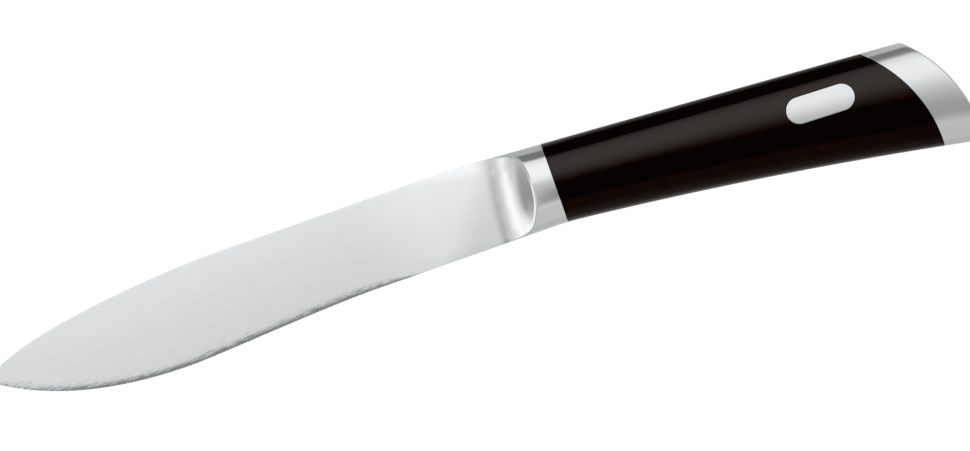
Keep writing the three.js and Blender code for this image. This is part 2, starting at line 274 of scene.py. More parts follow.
def crowd(count):
    """Shares from 0 to 1 that crowd at both ends: t cubed over the sum of t cubed and (1 - t) cubed."""
    t = np.linspace(0, 1, count + 1)[None, :]
    return t ** 3 / (t ** 3 + (1 - t) ** 3)


def mix(a, b, share):
    """The value that lies the given share of the way from a to b."""
    return a + (b - a) * share


def top_line(x):
    """Spine and top of the handle: a curve from the tip, a straight, a parabola for the knee, a straight."""
    bent = np.interp(x, spine_curve[::-1, 0], spine_curve[::-1, 1])
    soft = SPINE_RISE - TOP_SLOPE * (x + TOP_KNEE + KNEE) ** 2 / (4 * KNEE)
    fall = SPINE_RISE - TOP_SLOPE * (x + TOP_KNEE)
    behind = [x > -TOP_KNEE + KNEE, x > -TOP_KNEE - KNEE, x > -SPINE_BEND_AT]
    return np.select(behind, [fall, soft, SPINE_RISE], bent)


def underside(x):
    """Bottom of bolster and handle: level, then a fall with a quadratic part, eased in by a parabola."""
    eased = (np.clip(x + DROP_BLEND, 0, 2 * DROP_BLEND)) ** 2 / (4 * DROP_BLEND)
    run = np.where(x > DROP_BLEND, x, eased)
    return -EDGE_DROP - DROP_SLOPE * run - DROP_CURVE * run ** 2


def oval(y, high, low):
    """Half width of the handle's section at height y: a superellipse that is thicker toward the spine."""
    s = np.clip((y - (high + low) / 2) / ((high - low) / 2), -1, 1)
    return HANDLE_HALF * (1 - np.abs(s) ** OVAL_POWER) ** (1 / OVAL_POWER) * (1 + EGG_FACTOR * s)


def handle_side(x, y):
    """Half width of the handle: the oval between its top and its underside."""
    return oval(y, top_line(x), underside(x))


def bolster_side(x, y, high, low):
    """Half width of the bolster: the handle's oval, thinned by the square of the way from the joint."""
    back = np.clip(-x, 0, BOLSTER_EASE_END)
    return oval(y, high, low) * (1 - BOLSTER_EASE * (back / BOLSTER_LENGTH) ** 2)


def edge_line(x):
    """The blade's lower outline, read from its two curves, and level behind them."""
    return np.where(x < -BELLY_FROM, np.interp(x, edge_curve[:, 0], edge_curve[:, 1]), underside(x))


def blade_side(x, y):
    """Half width of the blade: a plane in x and y, with a slight parabolic bulge across the height and a
    short parabolic ease at the lower edge."""
    plane = HEEL_THICKNESS / 2 + FLAT_TAPER * (x + SCOOP_START) + FLAT_RISE * (y + EDGE_DROP)
    high, low = top_line(x), edge_line(x)
    half = (high - low) / 2
    full = (SPINE_RISE + EDGE_DROP) / 2
    bulge = SIDE_CROWN * np.clip(half ** 2 - (y - (high + low) / 2) ** 2, 0, None) / full ** 2
    return plane + bulge - HEEL_EASE * np.clip(1 - (y - low) / HEEL_RUN, 0, 1) ** 2


def past_scoop(x, y):
    """Distance behind the scoop's lowest line, which leans with SCOOP_TILT and bows toward the tip."""
    c, s = math.cos(SCOOP_TILT), math.sin(SCOOP_TILT)
    behind = (x + SCOOP_START) * c - y * s
    beside = (x + SCOOP_START) * s + y * c
    return behind - beside ** 2 / (2 * SCOOP_BOW)


def scooped_side(x, y):
    """The blade's side, and behind the scoop's line a trough that rises from it, first round, then straight.
    Near the line two sine waves along y add the waver of hand polishing, which fades within a few
    millimetres. Toward the rim the trough bows more, by the square of y."""
    w = past_scoop(x, y)
    w = w - RIM_BOW * y * y * smooth(w, *RIM_BOW_RUN)
    waver = sum(share * np.sin(turn * y + shift) for share, turn, shift in WAVER_WAVES)
    w = np.clip(w + SCOOP_WAVER * waver * np.exp(-((w - WAVER_AT) / WAVER_FADE) ** 2), 0, None)
    bent = np.minimum(w, SCOOP_RADIUS * math.sin(SCOOP_SLOPE))
    rise = SCOOP_RADIUS - np.sqrt(SCOOP_RADIUS ** 2 - bent ** 2) + (w - bent) * math.tan(SCOOP_SLOPE)
    return blade_side(x, y) + rise


def soft_least(a, b, width):
    """The smaller of a and b, less a cubic of how near they are where they differ by less than width."""
    near = np.clip(1 - np.abs(a - b) / width, 0, 1)
    return np.minimum(a, b) - width * near ** 3 / 6


# Meshes

def sheet_faces(rows, cols, start):
    """The four corners of each cell of a grid whose points are numbered row by row."""
    a = start + np.arange(rows - 1)[:, None] * cols + np.arange(cols - 1)[None, :]
    return np.stack([a, a + 1, a + cols + 1, a + cols], -1).reshape(-1, 4)


def mirrored(sheets):
    """Each grid and its image on the other side of the knife, with the columns run backward."""
    return sheets + [sheet[:, ::-1] * np.array([1, 1, -1]) for sheet in sheets]


def make_piece(name, sheets, material, node, crease, marks=None):
    """One closed mesh from grids of points, dressed over a CAD node. Points that meet become one, and a cell
    with two corners on one point becomes a triangle or goes. marks are named values for each point, in the
    grids' order."""
    counts = [sheet.shape[:2] for sheet in sheets]
    starts = np.cumsum([0] + [r * c for r, c in counts])
    points = np.concatenate([sheet.reshape(-1, 3) for sheet in sheets])
    cells = np.concatenate([sheet_faces(r, c, s) for (r, c), s in zip(counts, starts)])
    _, first, merged = np.unique(
        np.round(points * WELD_STEPS).astype(np.int64), axis=0, return_index=True, return_inverse=True)
    cells = merged.reshape(-1)[cells]
    kept = cells != np.roll(cells, 1, axis=1)
    whole = kept.sum(1) >= 3
    cells, kept = cells[whole], kept[whole]
    sizes = kept.sum(1)

    mesh = bpy.data.meshes.new(name)
    mesh.vertices.add(len(first))
    mesh.vertices.foreach_set("co", settle(points[first]).astype(np.float32).ravel())
    mesh.loops.add(int(sizes.sum()))
    mesh.loops.foreach_set("vertex_index", cells[kept].astype(np.int32))
    mesh.polygons.add(len(sizes))
    loop_starts = np.concatenate([[0], np.cumsum(sizes)[:-1]])
    mesh.polygons.foreach_set("loop_start", loop_starts.astype(np.int32))
    for mark, values in (marks or {}).items():
        layer = mesh.attributes.new(mark, "FLOAT", "POINT")
        values = np.concatenate([v.ravel() for v in values])[first]
        layer.data.foreach_set("value", values.astype(np.float32))
    mesh.update(calc_edges=True)
    work = bmesh.new()
    work.from_mesh(mesh)
    bmesh.ops.recalc_face_normals(work, faces=work.faces)
    work.to_mesh(mesh)
    work.free()
    mesh.polygons.foreach_set("use_smooth", np.ones(len(mesh.polygons), bool))
    mesh.set_sharp_from_angle(angle=math.radians(crease))
    mesh.materials.append(material)

    piece = bpy.data.objects.new(name, mesh)
    bpy.context.scene.collection.objects.link(piece)
    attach(piece, "root")
    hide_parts(node)


# Finishes

BLADE_TONE = (0.7, 0.714, 0.723)
CAP_TONE = (0.517, 0.527, 0.533)
INLAY_TONE = (0.505, 0.515, 0.521)
RIVET_TONE = (0.49, 0.5, 0.507)
GRIP_TONE = (0.0092, 0.0082, 0.0074)
GRIP_GLOSS = (1.0, 0.9, 0.87)
BEDDING_TONE = (0.07, 0.06, 0.05)

# Roughness, and the resins' specular level
BLADE_ROUGHNESS = 0.34
CAP_ROUGHNESS = 0.2
INLAY_ROUGHNESS = 0.2
RIVET_ROUGHNESS = 0.35
GRIP_ROUGHNESS = 0.25
GRIP_SPECULAR = 0.72
BEDDING_ROUGHNESS = 0.7
BEDDING_SPECULAR = 0.3

# Size of each grain, along by across in millimetres, and how some of them are turned
SATIN_STREAKS = (9.0, 0.09)
SATIN_CLOUD = (26.0, 9.0)
BLADE_STREAKS = (14.0, 0.11)
BLADE_CLOUD = (30.0, 7.0)
BLADE_RUBS = (2.6, 0.36)
RUBS_TURN = math.radians(-9)
EDGE_SCRATCHES = (2.8, 0.32)
SCRATCHES_TURN = math.radians(8)
RESIN_MOTTLE = (3.0, 3.0)
RESIN_PEBBLE = (0.35, 0.35)
GRAIN_DETAIL = 2.0
SCRATCHES_DETAIL = 3.0
GRAIN_ROUGHNESS = 0.6

# How far the grains change tone, roughness and relief. A relief is a bump's strength and its depth in metres
SATIN_SHADE = 0.05
SATIN_ROUGH = 0.06
SATIN_CLOUDING = 0.05
SATIN_RELIEF = (0.12, 0.00002)
BLADE_SATIN = 0.05
BLADE_CLOUDING = 0.04
BLADE_RELIEF = (0.35, 0.00003)
RUBS_SHADE = 2.2            # next to the streaks
RUBS_CALM = 1.5             # less this where the painted sheen brightens the flat
PAINTED_SHEEN_GAIN = 0.11           # how much brighter the painted sheen makes the flat
POLISH_LOSS = 0.19          # how much darker the polished steel's own tone is
POLISH_SMOOTHING = 0.23
SCRATCH_BREAKS = 1.6        # how far the scratches break up the worn band
SCRATCH_LIMIT = (0.0, 0.25)
WORN_RUN = (0.12, 0.85)
# How much darker the worn band is, and with it the painted shade above the bevel
WORN_LOSS = 0.6
WORN_ROUGHENING = 0.06
STREAK_HEIGHT = 0.25
SCRATCH_HEIGHT = 0.6
RESIN_SHADE = 0.4
RESIN_MOTTLED = 0.08
RESIN_PEBBLED = 0.06
RESIN_RELIEF = (0.08, 0.00003)


class Wire:
    """A socket in a node tree. Sums, differences and products of wires and numbers add Math nodes."""

    def __init__(self, tree, socket=None):
        self.tree = tree
        self.socket = socket

    def node(self, kind, settings=None, inputs=None, out=0):
        """Any node: its settings first, then the values or wires of its sockets. Returns one output."""
        made = self.tree.nodes.new(kind)
        for name, value in (settings or {}).items():
            if name == "stops":
                self.set_stops(made.color_ramp, value)
            else:
                setattr(made, name, value)
        for name, value in (inputs or {}).items():
            if isinstance(value, Wire):
                self.tree.links.new(value.socket, made.inputs[name])
            else:
                made.inputs[name].default_value = value
        return Wire(self.tree, made.outputs[out]) if made.outputs else None

    @staticmethod
    def set_stops(ramp, stops):
        """The ramp's stops as (position, grey) pairs."""
        while len(ramp.elements) < len(stops):
            ramp.elements.new(1.0)
        for element, (position, tone) in zip(ramp.elements, stops):
            element.position = position
            element.color = (tone, tone, tone, 1)

    def math(self, operation, *others):
        """A Math node on this wire and the others."""
        inputs = dict(enumerate((self,) + others))
        return self.node("ShaderNodeMath", {"operation": operation}, inputs)

    def __add__(self, other):
        return self.math("ADD", other)

    def __sub__(self, other):
        return self.math("SUBTRACT", other)

    def __mul__(self, other):
        return self.math("MULTIPLY", other)

    __radd__ = __add__
    __rmul__ = __mul__

    def __rsub__(self, other):
        return self.node("ShaderNodeMath", {"operation": "SUBTRACT"}, {0: other, 1: self})

    def axis(self, k):
        """One coordinate of a vector."""
        return self.node("ShaderNodeSeparateXYZ", None, {"Vector": self}, out=k)

    def between(self, low, high):
        """0 below low, 1 above high, a smooth step between."""
        return self.node(
            "ShaderNodeMapRange", {"interpolation_type": "SMOOTHSTEP"},
            {"Value": self, "From Min": low, "From Max": high, "To Min": 0.0, "To Max": 1.0})

    def ramp(self, stops):
        """Straight lines between (value, level) stops. Levels reach 2, so the ramp holds their halves."""
        low, high = stops[0][0], stops[-1][0]
        place = self.node(
            "ShaderNodeMapRange", None,
            {"Value": self, "From Min": low, "From Max": high, "To Min": 0.0, "To Max": 1.0})
        stops = [((value - low) / (high - low), level / 2) for value, level in stops]
        return self.node("ShaderNodeValToRGB", {"stops": stops}, {"Fac": place}) * 2


def new_material(name):
    """An empty material and the wire that its nodes start from."""
    material = bpy.data.materials.new(name)
    material.use_nodes = True
    material.node_tree.nodes.clear()
    return material, Wire(material.node_tree)


def grain(wire, size, turn=0.0, detail=GRAIN_DETAIL):
    """Streaks: noise from 0 to 1 about one half on Object coordinates, turned in the knife's plane, with a
    grain of along by across millimetres."""
    along, across = size
    spot = wire.node("ShaderNodeTexCoord", out="Object")
    turned = wire.node(
        "ShaderNodeMapping", {"vector_type": "TEXTURE"},
        {"Vector": spot, "Rotation": (0, 0, turn), "Scale": (along * MM, across * MM, across * MM)})
    return wire.node(
        "ShaderNodeTexNoise", {"noise_dimensions": "3D"},
        {"Vector": turned, "Scale": 1.0, "Detail": detail, "Roughness": GRAIN_ROUGHNESS})


def shaded(wire, tone, shade):
    """A colour times a wire."""
    return wire.node("ShaderNodeVectorMath", {"operation": "SCALE"}, {0: tone, "Scale": shade})


def relief(wire, bump, height):
    """A Bump node of the given strength and depth."""
    strength, depth = bump
    return wire.node("ShaderNodeBump", None, {"Strength": strength, "Distance": depth, "Height": height})


def finish_material(wire, inputs):
    """The surface shader, and the output that it feeds."""
    surface = wire.node("ShaderNodeBsdfPrincipled", inputs=inputs)
    wire.node("ShaderNodeOutputMaterial", inputs={"Surface": surface})


def steel_paint(name, tone, roughness):
    """Satin steel: fine brushing in tone, roughness and relief, and a slow cloudiness."""
    material, wire = new_material(name)
    streaks = grain(wire, SATIN_STREAKS)
    cloudy = (grain(wire, SATIN_CLOUD) - 0.5) * SATIN_CLOUDING
    finish_material(wire, {
        "Base Color": shaded(wire, tone, 1 + (streaks - 0.5) * SATIN_SHADE + cloudy),
        "Metallic": 1.0,
        "Roughness": (streaks - 0.5) * SATIN_ROUGH + cloudy + roughness,
        "Normal": relief(wire, SATIN_RELIEF, streaks),
    })
    return material


def blade_paint():
    """Forged steel: satin brushed flats with a painted sheen by the heel, a polished scoop and bolster, and
    an edge ground on a slant with painted shade on the flat just above it.
    """
    material, wire = new_material("blade_finish")
    polish, ground, sheen = (
        wire.node("ShaderNodeAttribute", {"attribute_name": mark}, out="Fac")
        for mark in ("polish", "ground", "sheen"))
    streaks = grain(wire, BLADE_STREAKS)
    cloud = grain(wire, BLADE_CLOUD)
    rubs = grain(wire, BLADE_RUBS, RUBS_TURN)
    scratches = grain(wire, EDGE_SCRATCHES, SCRATCHES_TURN, SCRATCHES_DETAIL)
    broken = (scratches - 0.5) * SCRATCH_BREAKS * ground.between(*SCRATCH_LIMIT)
    # Worn band of the ground edge; the painted shade on the flat above the bevel comes through it too
    worn_and_shaded = (ground + broken).between(*WORN_RUN)
    satin = (1 - polish) * BLADE_SATIN
    brushed = (streaks - 0.5) * satin
    rubs_and_painted_sheen = (rubs - 0.5) * satin * (RUBS_SHADE - sheen * RUBS_CALM)
    shade = 1 + brushed + rubs_and_painted_sheen + (cloud - 0.5) * BLADE_CLOUDING
    # Darker by wear of the ground edge and by painted shade above the bevel; brighter by the painted sheen
    # by the heel, with a little painted shade past it
    shade = shade * (1 - worn_and_shaded * WORN_LOSS) * (1 + sheen * PAINTED_SHEEN_GAIN - polish * POLISH_LOSS)
    height = streaks * (1 - polish) * STREAK_HEIGHT + scratches * worn_and_shaded * SCRATCH_HEIGHT
    finish_material(wire, {
        "Base Color": shaded(wire, BLADE_TONE, shade),
        "Metallic": 1.0,
        "Roughness": BLADE_ROUGHNESS - polish * POLISH_SMOOTHING + brushed + worn_and_shaded * WORN_ROUGHENING,
        "Normal": relief(wire, BLADE_RELIEF, height),
    })
    return material


def resin_paint(name, tone, roughness, level, gloss):
    """Moulded resin: one dark tone with a faint mottle, and a fine pebble in the tinted gloss."""
    material, wire = new_material(name)
    mottle = grain(wire, RESIN_MOTTLE)
    pebble = grain(wire, RESIN_PEBBLE)
    finish_material(wire, {
        "Base Color": shaded(wire, tone, 1 + (mottle - 0.5) * RESIN_SHADE),
        "Roughness": (mottle - 0.5) * RESIN_MOTTLED + (pebble - 0.5) * RESIN_PEBBLED + roughness,
        "Specular IOR Level": level,
        "Specular Tint": (*gloss, 1),
        "Normal": relief(wire, RESIN_RELIEF, pebble),
    })
    return material


# Blade

def crossing(x, high, low, inner, outer):
    """Height between inner and outer where the oval section and the scooped side are equally wide,
    found by halving the interval."""
    for _ in range(HALVINGS):
        middle = (inner + outer) / 2
        wider = bolster_side(x, middle, high, low) > scooped_side(x, middle)
        inner = np.where(wider, middle, inner)
        outer = np.where(wider, outer, middle)
    return (inner + outer) / 2


def scoop_apex():
    """Rearmost point of the scoop's rim: the last place where the trough is narrower than the oval."""
    x = np.linspace(-SCOOP_START, 0, APEX_GRID[0])[:, None]
    y = np.linspace(*APEX_HEIGHTS, APEX_GRID[1])[None, :]
    room = bolster_side(x, y, top_line(x), underside(x)) - scooped_side(x, y)
    last = np.nonzero(room.max(1) > 0)[0][-1]
    return x[last, 0], y[0, room[last].argmax()]


def half_rectangle(count, height, thickness):
    """Left half of a rectangle's outline from its top middle to its bottom middle, evenly spaced."""
    turns = np.array([0, thickness / 2, thickness / 2 + height, thickness + height])
    run = np.linspace(0, turns[-1], count)
    return (np.interp(run, turns, [height / 2, height / 2, -height / 2, -height / 2]),
            np.interp(run, turns, [0, thickness / 2, thickness / 2, 0]))


def on_tang_line(along, across, out):
    """Points of a bar on the tang's line, which leaves the joint's centre for the middle of the inlays."""
    c, s = math.cos(TANG_LINE), math.sin(TANG_LINE)
    along = np.broadcast_to(along, across.shape)
    return np.stack([along * c - across * s, along * s + across * c, out], -1)


def turn_of(y, high, low):
    """Angle on the oval section, 0 at the top and pi at the bottom, of the height y."""
    rise = np.clip((y - (high + low) / 2) / ((high - low) / 2), -1, 1)
    return np.arccos(np.sign(rise) * np.abs(rise) ** (OVAL_POWER / 2))


def height_of(turn, high, low):
    """Height of the angle turn on the oval section."""
    c = np.cos(turn)
    return (high + low) / 2 + (high - low) / 2 * np.sign(c) * np.abs(c) ** (2 / OVAL_POWER)


def forged_side(x, y, high, low):
    """Half width of blade and bolster: the smaller of oval and scooped side, with a soft rim between."""
    trough = scooped_side(x, y)
    lip = mix(CORNER_LIP, SCOOP_LIP, smooth(past_scoop(x, y), 0, LIP_RUN))
    return soft_least(bolster_side(x, y, high, low), trough, np.minimum(lip, LIP_LIMIT * trough))


def blade_stations():
    """Rows of the blade from tip to scoop: points of the edge, the way in from it, the tooth count so far
    and the share of the grind."""
    path = np.concatenate([edge_curve, [(-TEETH_FROM, -EDGE_DROP)]])
    run = np.concatenate([[0], np.cumsum(np.hypot(*np.diff(path, axis=0).T))])
    teeth = round((run[-1] - TIP_BLUNT) / TOOTH_PITCH)
    count = np.linspace(0, teeth, teeth * TOOTH_ROWS + 1)
    at = TIP_BLUNT + (run[-1] - TIP_BLUNT) * count / teeth
    toothed = np.stack([np.interp(at, run, path[:, 0]), np.interp(at, run, path[:, 1])], -1)
    plain = np.linspace(-TEETH_FROM, SCOOP_FRONT - SEAM_WIDTH, HEEL_ROWS + 1)[1:]
    edge = np.concatenate([toothed, np.stack([plain, underside(plain)], -1)])
    way = np.gradient(edge, axis=0)
    way /= np.hypot(*way.T)[:, None]
    inward = np.stack([-way[:, 1], way[:, 0]], -1)
    inward[len(toothed):] = (0, 1)
    count = np.concatenate([count, np.full(len(plain), float(teeth))])
    share = np.sin(np.clip((-edge[:, 0] - GRIND_FROM) / (GRIND_FULL - GRIND_FROM), 0, 1) * np.pi / 2)
    return edge, inward, count, share


def blade_sheet(steps):
    """Left half of the blade as one grid of sections, with how worn each point is by the grind, and painted
    shade on the flat just above the bevel. Columns run from the spine's middle over its rounded corner, down
    the flat, over the bevel or the heel's corner, to the edge's middle. The steps space the corner's
    columns."""
    edge, inward, count, share = blade_stations()
    count, share = count[:, None], share[:, None]
    x, low = edge[:, :1], edge[:, 1:]
    high = top_line(x)
    middle = (high + low) / 2
    upper = crossing(x, high, low, middle, high)
    lower = crossing(x, high, low, middle, low)

    crown_y = height_of(turn_of(upper, high, low) * (1 - steps[None, ::-1]), high, low)
    crown = np.stack([x + 0 * crown_y, crown_y, forged_side(x, crown_y, high, low)], -1)

    room = np.clip((x + BLADE_REACH) / TIP_RUNOUT, 0, 1)
    grind = BEVEL_HEIGHT * room
    shoulder_x = x + inward[:, :1] * grind * share
    shoulder_y = mix(lower, low + inward[:, 1:] * grind, share)
    flat_x = mix(x, shoulder_x, crowd(SIDE_COLS)[:, 1:])
    flat_y = mix(upper, shoulder_y, crowd(SIDE_COLS)[:, 1:])
    flat = np.stack([flat_x, flat_y, forged_side(flat_x, flat_y, high, low)], -1)

    t = np.linspace(0, 1, WRAP_COLS + 1)[None, 1:]
    gullet = room * share * (1 - np.abs(np.cos(np.pi * count)))
    lift = grind * (1 - t) + TOOTH_DEPTH * gullet * t * t
    bevel_x = x + inward[:, :1] * lift
    bevel_y = low + inward[:, 1:] * lift
    start = blade_side(shoulder_x, shoulder_y)
    bevel_z = mix(start, EDGE_THICKNESS / 2, t ** BEVEL_CROWN) - GROOVE_DEPTH * gullet * 4 * t * (1 - t)
    under_y = height_of(mix(turn_of(lower, high, low), np.pi, steps[None, 1:]), high, low)
    wall = np.stack([
        mix(x + 0 * under_y, bevel_x, share),
        mix(under_y, bevel_y, share),
        mix(forged_side(x, under_y, high, low), bevel_z, share),
    ], -1)
    keel = wall[:, -1:] * np.array([1, 1, 0])
    sections = np.concatenate([crown, flat, wall, keel], 1)
    nose = np.broadcast_to(sections[0].mean(0) * np.array([1, 1, 0]), sections[0].shape)

    by_tip = 1 - smooth(x + BLADE_REACH, *TIP_WEAR_RUN)
    wear = smooth(-x, *WEAR_RUN) * (1 - TIP_WEAR_LOSS * by_tip)
    above = np.hypot(flat_x - shoulder_x, flat_y - shoulder_y)
    # Painted shade on the flat just above the bevel, stronger by the tip
    fringe_shade = FRINGE_SHADE * (1 + TIP_FRINGE_GAIN * by_tip)
    soft = fringe_shade * (1 - smooth(above, 0, FRINGE_HEIGHT))
    ground = np.concatenate([0 * crown_y, wear * soft, wear * np.maximum(t, fringe_shade), wear], 1)
    return np.concatenate([nose[None], sections]), np.concatenate([ground[:1] * 0, ground])


def scoop_rim():
    """Points along the scoop's rim, evenly spaced from the spine's corner round to the heel's corner."""
    apex_x, apex_y = scoop_apex()
    x = mix(SCOOP_FRONT, apex_x, np.sin(np.linspace(0, np.pi / 2, RIM_POINTS)))
    high, low = top_line(x), underside(x)
    upper = np.stack([x, crossing(x, high, low, apex_y, high)], -1)
    lower = np.stack([x, crossing(x, high, low, apex_y, low)], -1)
    path = np.concatenate([upper, lower[::-1]])
    run = np.concatenate([[0], np.cumsum(np.hypot(*np.diff(path, axis=0).T))])
    at = np.linspace(0, run[-1], RIM_COLS + 1)
    return np.interp(at, run, path[:, 0]), np.interp(at, run, path[:, 1])


def bolster_sheets(steps):
    """Left half of the bolster: the trough, whose columns run from its front to the rim, and the oval skin
    round it, whose columns fan out from the rim to the spine, the joint and the underside. Last come the
    face at the joint and the tang."""
    rim_x, rim_y = scoop_rim()
    share = 1 - (1 - np.linspace(0, 1, SCOOP_ROWS + 1)[:, None]) ** SCOOP_CROWD
    x, y = mix(SCOOP_FRONT, rim_x, share), rim_y + 0 * share
    trough = np.stack([x, y, forged_side(x, y, top_line(x), underside(x))], -1)

    first, last = (int(np.abs(rim_y - turn).argmin()) for turn in (RIM_TURN, -RIM_TURN))
    knots = [0, first, last, RIM_COLS]
    column = np.arange(RIM_COLS + 1)
    outer_x = np.interp(column, knots, [SCOOP_FRONT, 0, 0, SCOOP_FRONT])
    outer_turn = np.interp(column, knots, [0, 0, np.pi, np.pi])
    x = mix(rim_x, outer_x, steps[:, None])
    high, low = top_line(x), underside(x)
    turn = mix(turn_of(rim_y, high[0], low[0]), outer_turn, steps[:, None])
    y = height_of(turn, high, low)
    skin = np.stack([x, y, forged_side(x, y, high, low)], -1)
    skin[-1, :first + 1, 2] = skin[-1, last:, 2] = 0

    joint = skin[-1, first:last + 1]
    across, out = half_rectangle(len(joint), TANG_HEIGHT, TANG_THICKNESS)
    root = on_tang_line(0.0, across, out)
    root[:, 0] = 0
    end = on_tang_line(TANG_END, across, out)
    stop = np.broadcast_to(end.mean(0) * np.array([1, 1, 0]), end.shape)
    return trough, skin, np.stack([joint, root, end, stop])


def painted_heel_sheen(x, y):
    """Painted sheen on the flat by the heel: a painted highlight that fades in from the tip, and out along a
    slanted line in front of the scoop, where it turns to a little painted shade. A wedge by the spine, above
    another slanted line, is a brighter painted highlight still."""
    rubs_and_painted_sheen = smooth(x, *PAINTED_SHEEN_RUN) * (1 - PAINTED_SHEEN_LOSS * smooth(x - PAINTED_SHEEN_SLANT * y, *PAINTED_SHEEN_END))
    painted_wedge = smooth(y + HIGHLIGHT_WEDGE_SLANT * (x + HIGHLIGHT_WEDGE_AT), *HIGHLIGHT_WEDGE_RISE) * (1 - smooth(x, *HIGHLIGHT_WEDGE_END))
    return rubs_and_painted_sheen + painted_wedge


def blade_half():
    """Left half of the whole forging. A row of triangles joins the blade's few columns to the scoop's many:
    going down, each step moves on along the side whose next point comes first."""
    steps = np.linspace(0, 1, WRAP_COLS + 1) ** 2
    blade, ground = blade_sheet(steps)
    trough, skin, tang = bolster_sheets(steps)
    corner, heel = WRAP_COLS, WRAP_COLS + SIDE_COLS
    last = blade[-1]
    flat, front = last[corner:heel + 1], trough[0]
    stops = np.unique(-np.concatenate([flat, front])[:, 1])
    flat, front = (
        edge[np.clip(np.searchsorted(-edge[:, 1], stops, "right") - 1, 0, None)] for edge in (flat, front))
    seam = np.stack([
        np.concatenate([last[:corner], flat, last[heel + 1:]]),
        np.concatenate([skin[:0:-1, 0], front, skin[1:, -1], skin[-1:, -1]]),
    ])
    sheets = [blade, seam, trough, skin, tang]
    marks = {"ground": [ground] + [np.zeros(sheet.shape[:2]) for sheet in sheets[1:]]}
    marks["polish"] = [smooth(past_scoop(sheet[..., 0], sheet[..., 1]), *POLISH_RUN) for sheet in sheets]
    # Painted sheen: a painted highlight on the flat by the heel, and a little painted shade past it
    marks["sheen"] = [painted_heel_sheen(sheet[..., 0], sheet[..., 1]) for sheet in sheets]
    return sheets, marks


def make_blade(material):
    """The forging: its left half and that half's image, with the marks in the same order."""
    sheets, marks = blade_half()
    marks = {mark: values + [v[:, ::-1] for v in values] for mark, values in marks.items()}
    make_piece("forged_blade", mirrored(sheets), material, "blade", BLADE_CREASE, marks)


# Grip sleeve and butt cap

def half_turn(count):
    """Left half of the oval section: rise from 1 to -1 and half width, at even angles."""
    angle = np.linspace(0, np.pi, count)
    c, s = np.cos(angle), np.clip(np.sin(angle), 0, 1)
    rise = np.sign(c) * np.abs(c) ** (2 / OVAL_POWER)
    return rise, s ** (2 / OVAL_POWER) * (1 + EGG_FACTOR * rise)


def section(x, inset=0.0):
    """Left half of the handle's outline at each column's x, drawn in by inset."""
    rise, out = half_turn(HALF_COLS)
    high, low = top_line(x) - inset, underside(x) + inset
    return np.stack([x, (high + low) / 2 + (high - low) / 2 * rise, (HANDLE_HALF - inset) * out], -1)


def butt_arc(y, shift):
    """x of the curved joint at height y, when its arc is moved back by shift."""
    return BUTT_CENTRE + shift + np.sqrt(BUTT_RADIUS ** 2 - (y + BUTT_CENTRE_DROP) ** 2)


def arc_section(shift, inset=0.0):
    """Left half of the handle's outline where it meets the moved arc: x is found by repeating
    x = arc(y(x)), which settles fast because the outline is nearly level."""
    x = np.full(HALF_COLS, BUTT_JOINT)
    for _ in range(ARC_REPEATS):
        x = butt_arc(section(x, inset)[:, 1], shift)
    return section(x, inset)


def slot_section(x, height, thickness):
    """Left half of the tang's slot, cut square to x at one place or along the curved joint."""
    across, out = half_rectangle(HALF_COLS, height, thickness)
    y = x * math.tan(TANG_LINE) + across / math.cos(TANG_LINE)
    return np.stack([np.broadcast_to(x, y.shape), y, out], -1)


def slot_on_arc(shift, height, thickness):
    """Left half of the slot or tongue where it meets the moved arc, found as arc_section is."""
    x = np.full(HALF_COLS, BUTT_JOINT)
    for _ in range(ARC_REPEATS):
        x = butt_arc(slot_section(x, height, thickness)[:, 1], shift)
    return slot_section(x, height, thickness)


def pill_near(x, y, radius):
    """Nearest point of the inlay's outline, with its ends of the given radius: go from (x, y) straight to
    the middle line and stop at that distance from it."""
    c, s = math.cos(INLAY_TILT), math.sin(INLAY_TILT)
    along = (x - INLAY_X) * c + (y - INLAY_Y) * s
    across = (y - INLAY_Y) * c - (x - INLAY_X) * s
    core = np.clip(along, -INLAY_STRAIGHT, INLAY_STRAIGHT)
    far = np.hypot(along - core, across)
    along = core + (along - core) * radius / far
    across = across * radius / far
    return INLAY_X + along * c - across * s, INLAY_Y + along * s + across * c


def block_edge(values, top, bottom, left, right):
    """Values on the closed edge of a block of a grid, once round, first one repeated."""
    return np.concatenate([
        values[top, left:right], values[top:bottom, right],
        values[bottom, right:left:-1], values[bottom:top:-1, left], values[top:top + 1, left]])


